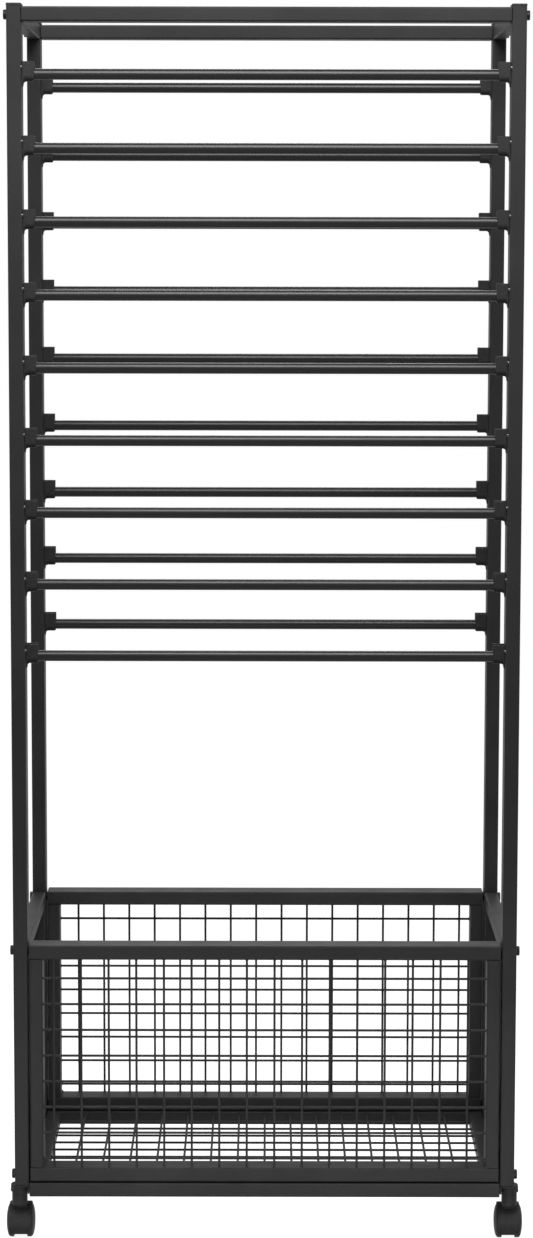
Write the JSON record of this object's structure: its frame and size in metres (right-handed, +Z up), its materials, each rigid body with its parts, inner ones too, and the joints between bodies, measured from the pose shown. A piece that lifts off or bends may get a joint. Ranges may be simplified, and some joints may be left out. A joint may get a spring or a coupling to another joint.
{
  "type": "rolling gift wrap organizer",
  "caption": "Tall rolling rack for gift wrap supplies: rows of lift-out ribbon rods at the front and rear over an open wire basket, on swivel casters.",
  "frame": {"origin": "on the floor under the middle of the frame", "axes": "+Z up; +X to the right seen from the front; +Y from the front to the rear"},
  "size_m": [0.583, 0.3264, 1.3738],
  "materials": {
    "frame_coat": "satin black powder coat",
    "rod_enamel": "smooth semi-gloss black",
    "black_plastic": "fine-grained matte black",
    "wheel_nylon": "matte black nylon",
    "axle_steel": "bare steel"
  },
  "bodies": {
    "frame": {"post_front_left": "frame_coat", "cap_front_left": "black_plastic", "caster_socket_front_left": "black_plastic", "post_front_right": "frame_coat", "cap_front_right": "black_plastic", "caster_socket_front_right": "black_plastic", "post_rear_left": "frame_coat", "cap_rear_left": "black_plastic", "caster_socket_rear_left": "black_plastic", "post_rear_right": "frame_coat", "cap_rear_right": "black_plastic", "caster_socket_rear_right": "black_plastic", "top_beam_front": "frame_coat", "top_beam_rear": "frame_coat", "top_beam_left": "frame_coat", "top_beam_right": "frame_coat", "basket_front": "frame_coat", "basket_rear": "frame_coat", "basket_left": "frame_coat", "basket_right": "frame_coat", "basket_base": "frame_coat"},
    "rod_front_1": {"rod_front_1": "rod_enamel"},
    "rod_front_2": {"rod_front_2": "rod_enamel"},
    "rod_front_3": {"rod_front_3": "rod_enamel"},
    "rod_front_4": {"rod_front_4": "rod_enamel"},
    "rod_front_5": {"rod_front_5": "rod_enamel"},
    "rod_front_6": {"rod_front_6": "rod_enamel"},
    "rod_front_7": {"rod_front_7": "rod_enamel"},
    "rod_front_8": {"rod_front_8": "rod_enamel"},
    "rod_front_9": {"rod_front_9": "rod_enamel"},
    "rod_rear_1": {"rod_rear_1": "rod_enamel"},
    "rod_rear_2": {"rod_rear_2": "rod_enamel"},
    "rod_rear_3": {"rod_rear_3": "rod_enamel"},
    "rod_rear_4": {"rod_rear_4": "rod_enamel"},
    "rod_rear_5": {"rod_rear_5": "rod_enamel"},
    "rod_rear_6": {"rod_rear_6": "rod_enamel"},
    "rod_rear_7": {"rod_rear_7": "rod_enamel"},
    "rod_rear_8": {"rod_rear_8": "rod_enamel"},
    "rod_rear_9": {"rod_rear_9": "rod_enamel"},
    "caster_front_left": {"caster_hood_front_left": "black_plastic"},
    "wheels_front_left": {"wheel_front_left_outer": "wheel_nylon", "wheel_front_left_inner": "wheel_nylon", "axle_front_left": "axle_steel"},
    "caster_front_right": {"caster_hood_front_right": "black_plastic"},
    "wheels_front_right": {"wheel_front_right_outer": "wheel_nylon", "wheel_front_right_inner": "wheel_nylon", "axle_front_right": "axle_steel"},
    "caster_rear_left": {"caster_hood_rear_left": "black_plastic"},
    "wheels_rear_left": {"wheel_rear_left_outer": "wheel_nylon", "wheel_rear_left_inner": "wheel_nylon", "axle_rear_left": "axle_steel"},
    "caster_rear_right": {"caster_hood_rear_right": "black_plastic"},
    "wheels_rear_right": {"wheel_rear_right_outer": "wheel_nylon", "wheel_rear_right_inner": "wheel_nylon", "axle_rear_right": "axle_steel"}
  },
  "joints": [
    {"name": "rod_front_1_lift", "type": "slide", "parent": "frame", "child": "rod_front_1", "axis": [0, 0, 1], "range_m": [0, 0.025]},
    {"name": "rod_front_2_lift", "type": "slide", "parent": "frame", "child": "rod_front_2", "axis": [0, 0, 1], "range_m": [0, 0.025]},
    {"name": "rod_front_3_lift", "type": "slide", "parent": "frame", "child": "rod_front_3", "axis": [0, 0, 1], "range_m": [0, 0.025]},
    {"name": "rod_front_4_lift", "type": "slide", "parent": "frame", "child": "rod_front_4", "axis": [0, 0, 1], "range_m": [0, 0.025]},
    {"name": "rod_front_5_lift", "type": "slide", "parent": "frame", "child": "rod_front_5", "axis": [0, 0, 1], "range_m": [0, 0.025]},
    {"name": "rod_front_6_lift", "type": "slide", "parent": "frame", "child": "rod_front_6", "axis": [0, 0, 1], "range_m": [0, 0.025]},
    {"name": "rod_front_7_lift", "type": "slide", "parent": "frame", "child": "rod_front_7", "axis": [0, 0, 1], "range_m": [0, 0.025]},
    {"name": "rod_front_8_lift", "type": "slide", "parent": "frame", "child": "rod_front_8", "axis": [0, 0, 1], "range_m": [0, 0.025]},
    {"name": "rod_front_9_lift", "type": "slide", "parent": "frame", "child": "rod_front_9", "axis": [0, 0, 1], "range_m": [0, 0.025]},
    {"name": "rod_rear_1_lift", "type": "slide", "parent": "frame", "child": "rod_rear_1", "axis": [0, 0, 1], "range_m": [0, 0.025]},
    {"name": "rod_rear_2_lift", "type": "slide", "parent": "frame", "child": "rod_rear_2", "axis": [0, 0, 1], "range_m": [0, 0.025]},
    {"name": "rod_rear_3_lift", "type": "slide", "parent": "frame", "child": "rod_rear_3", "axis": [0, 0, 1], "range_m": [0, 0.025]},
    {"name": "rod_rear_4_lift", "type": "slide", "parent": "frame", "child": "rod_rear_4", "axis": [0, 0, 1], "range_m": [0, 0.025]},
    {"name": "rod_rear_5_lift", "type": "slide", "parent": "frame", "child": "rod_rear_5", "axis": [0, 0, 1], "range_m": [0, 0.025]},
    {"name": "rod_rear_6_lift", "type": "slide", "parent": "frame", "child": "rod_rear_6", "axis": [0, 0, 1], "range_m": [0, 0.025]},
    {"name": "rod_rear_7_lift", "type": "slide", "parent": "frame", "child": "rod_rear_7", "axis": [0, 0, 1], "range_m": [0, 0.025]},
    {"name": "rod_rear_8_lift", "type": "slide", "parent": "frame", "child": "rod_rear_8", "axis": [0, 0, 1], "range_m": [0, 0.025]},
    {"name": "rod_rear_9_lift", "type": "slide", "parent": "frame", "child": "rod_rear_9", "axis": [0, 0, 1], "range_m": [0, 0.025]},
    {"name": "caster_front_left_swivel", "type": "hinge", "parent": "frame", "child": "caster_front_left", "pos_m": [-0.2756, -0.148, 0.05], "axis": [0, 0, 1], "continuous": true},
    {"name": "wheels_front_left_roll", "type": "hinge", "parent": "caster_front_left", "child": "wheels_front_left", "pos_m": [-0.2756, -0.132, 0.019], "axis": [1, 0, 0], "continuous": true},
    {"name": "caster_front_right_swivel", "type": "hinge", "parent": "frame", "child": "caster_front_right", "pos_m": [0.2756, -0.148, 0.05], "axis": [0, 0, 1], "continuous": true},
    {"name": "wheels_front_right_roll", "type": "hinge", "parent": "caster_front_right", "child": "wheels_front_right", "pos_m": [0.2756, -0.132, 0.019], "axis": [1, 0, 0], "continuous": true},
    {"name": "caster_rear_left_swivel", "type": "hinge", "parent": "frame", "child": "caster_rear_left", "pos_m": [-0.2756, 0.148, 0.05], "axis": [0, 0, 1], "continuous": true},
    {"name": "wheels_rear_left_roll", "type": "hinge", "parent": "caster_rear_left", "child": "wheels_rear_left", "pos_m": [-0.2756, 0.132, 0.019], "axis": [1, 0, 0], "continuous": true},
    {"name": "caster_rear_right_swivel", "type": "hinge", "parent": "frame", "child": "caster_rear_right", "pos_m": [0.2756, 0.148, 0.05], "axis": [0, 0, 1], "continuous": true},
    {"name": "wheels_rear_right_roll", "type": "hinge", "parent": "caster_rear_right", "child": "wheels_rear_right", "pos_m": [0.2756, 0.132, 0.019], "axis": [1, 0, 0], "continuous": true}
  ]
}
